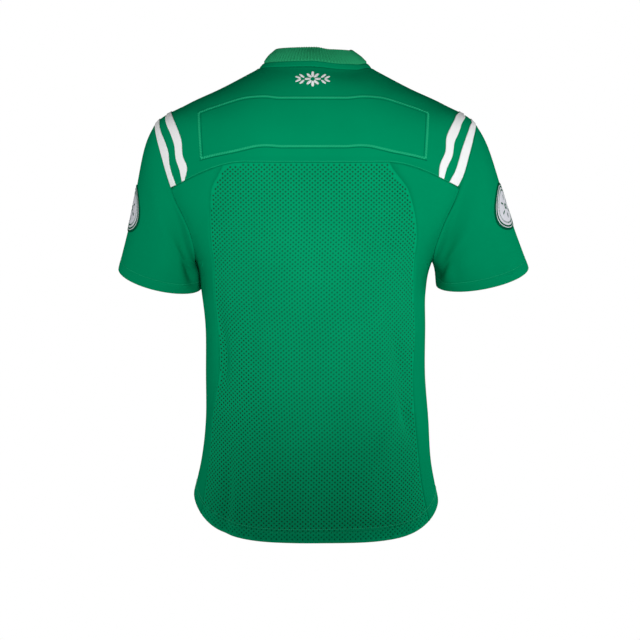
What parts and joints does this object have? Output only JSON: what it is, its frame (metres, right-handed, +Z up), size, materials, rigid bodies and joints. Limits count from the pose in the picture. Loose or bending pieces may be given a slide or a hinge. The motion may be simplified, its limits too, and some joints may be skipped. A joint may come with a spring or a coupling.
{
  "type": "football jersey",
  "caption": "Short-sleeved V-neck American football jersey, filled out and hollow as worn, with mesh body panels, shoulder yoke, sleeve stripes and a scooped hem.",
  "frame": {"origin": "between the wearer's shoulders, level with the points where the collar meets the shoulder line", "axes": "+Z up, +Y towards the wearer's back, +X towards the wearer's left; the front of the jersey faces -Y"},
  "size_m": [0.6803, 0.293, 0.7857],
  "materials": {
    "mesh_cloth": "green warp-knit polyester with small holes, soft sheen",
    "smooth_cloth": "green smooth knit polyester, soft sheen",
    "rib_knit": "green ribbed knit, matt",
    "white_trim": "white knit trim, satin",
    "patch_embroidery": "embroidery thread, satin"
  },
  "bodies": {
    "root": {"back_panel": "mesh_cloth", "front_panel": "mesh_cloth", "side_panel_left": "smooth_cloth", "side_panel_right": "smooth_cloth", "yoke": "smooth_cloth", "sleeve_left": "smooth_cloth", "sleeve_right": "smooth_cloth", "collar_band": "smooth_cloth", "collar_rib": "rib_knit", "nameplate": "smooth_cloth", "stripe_left_outer": "white_trim", "stripe_left_inner": "white_trim", "stripe_right_outer": "white_trim", "stripe_right_inner": "white_trim", "sleeve_patch_left": "patch_embroidery", "sleeve_patch_right": "patch_embroidery"}
  },
  "joints": []
}
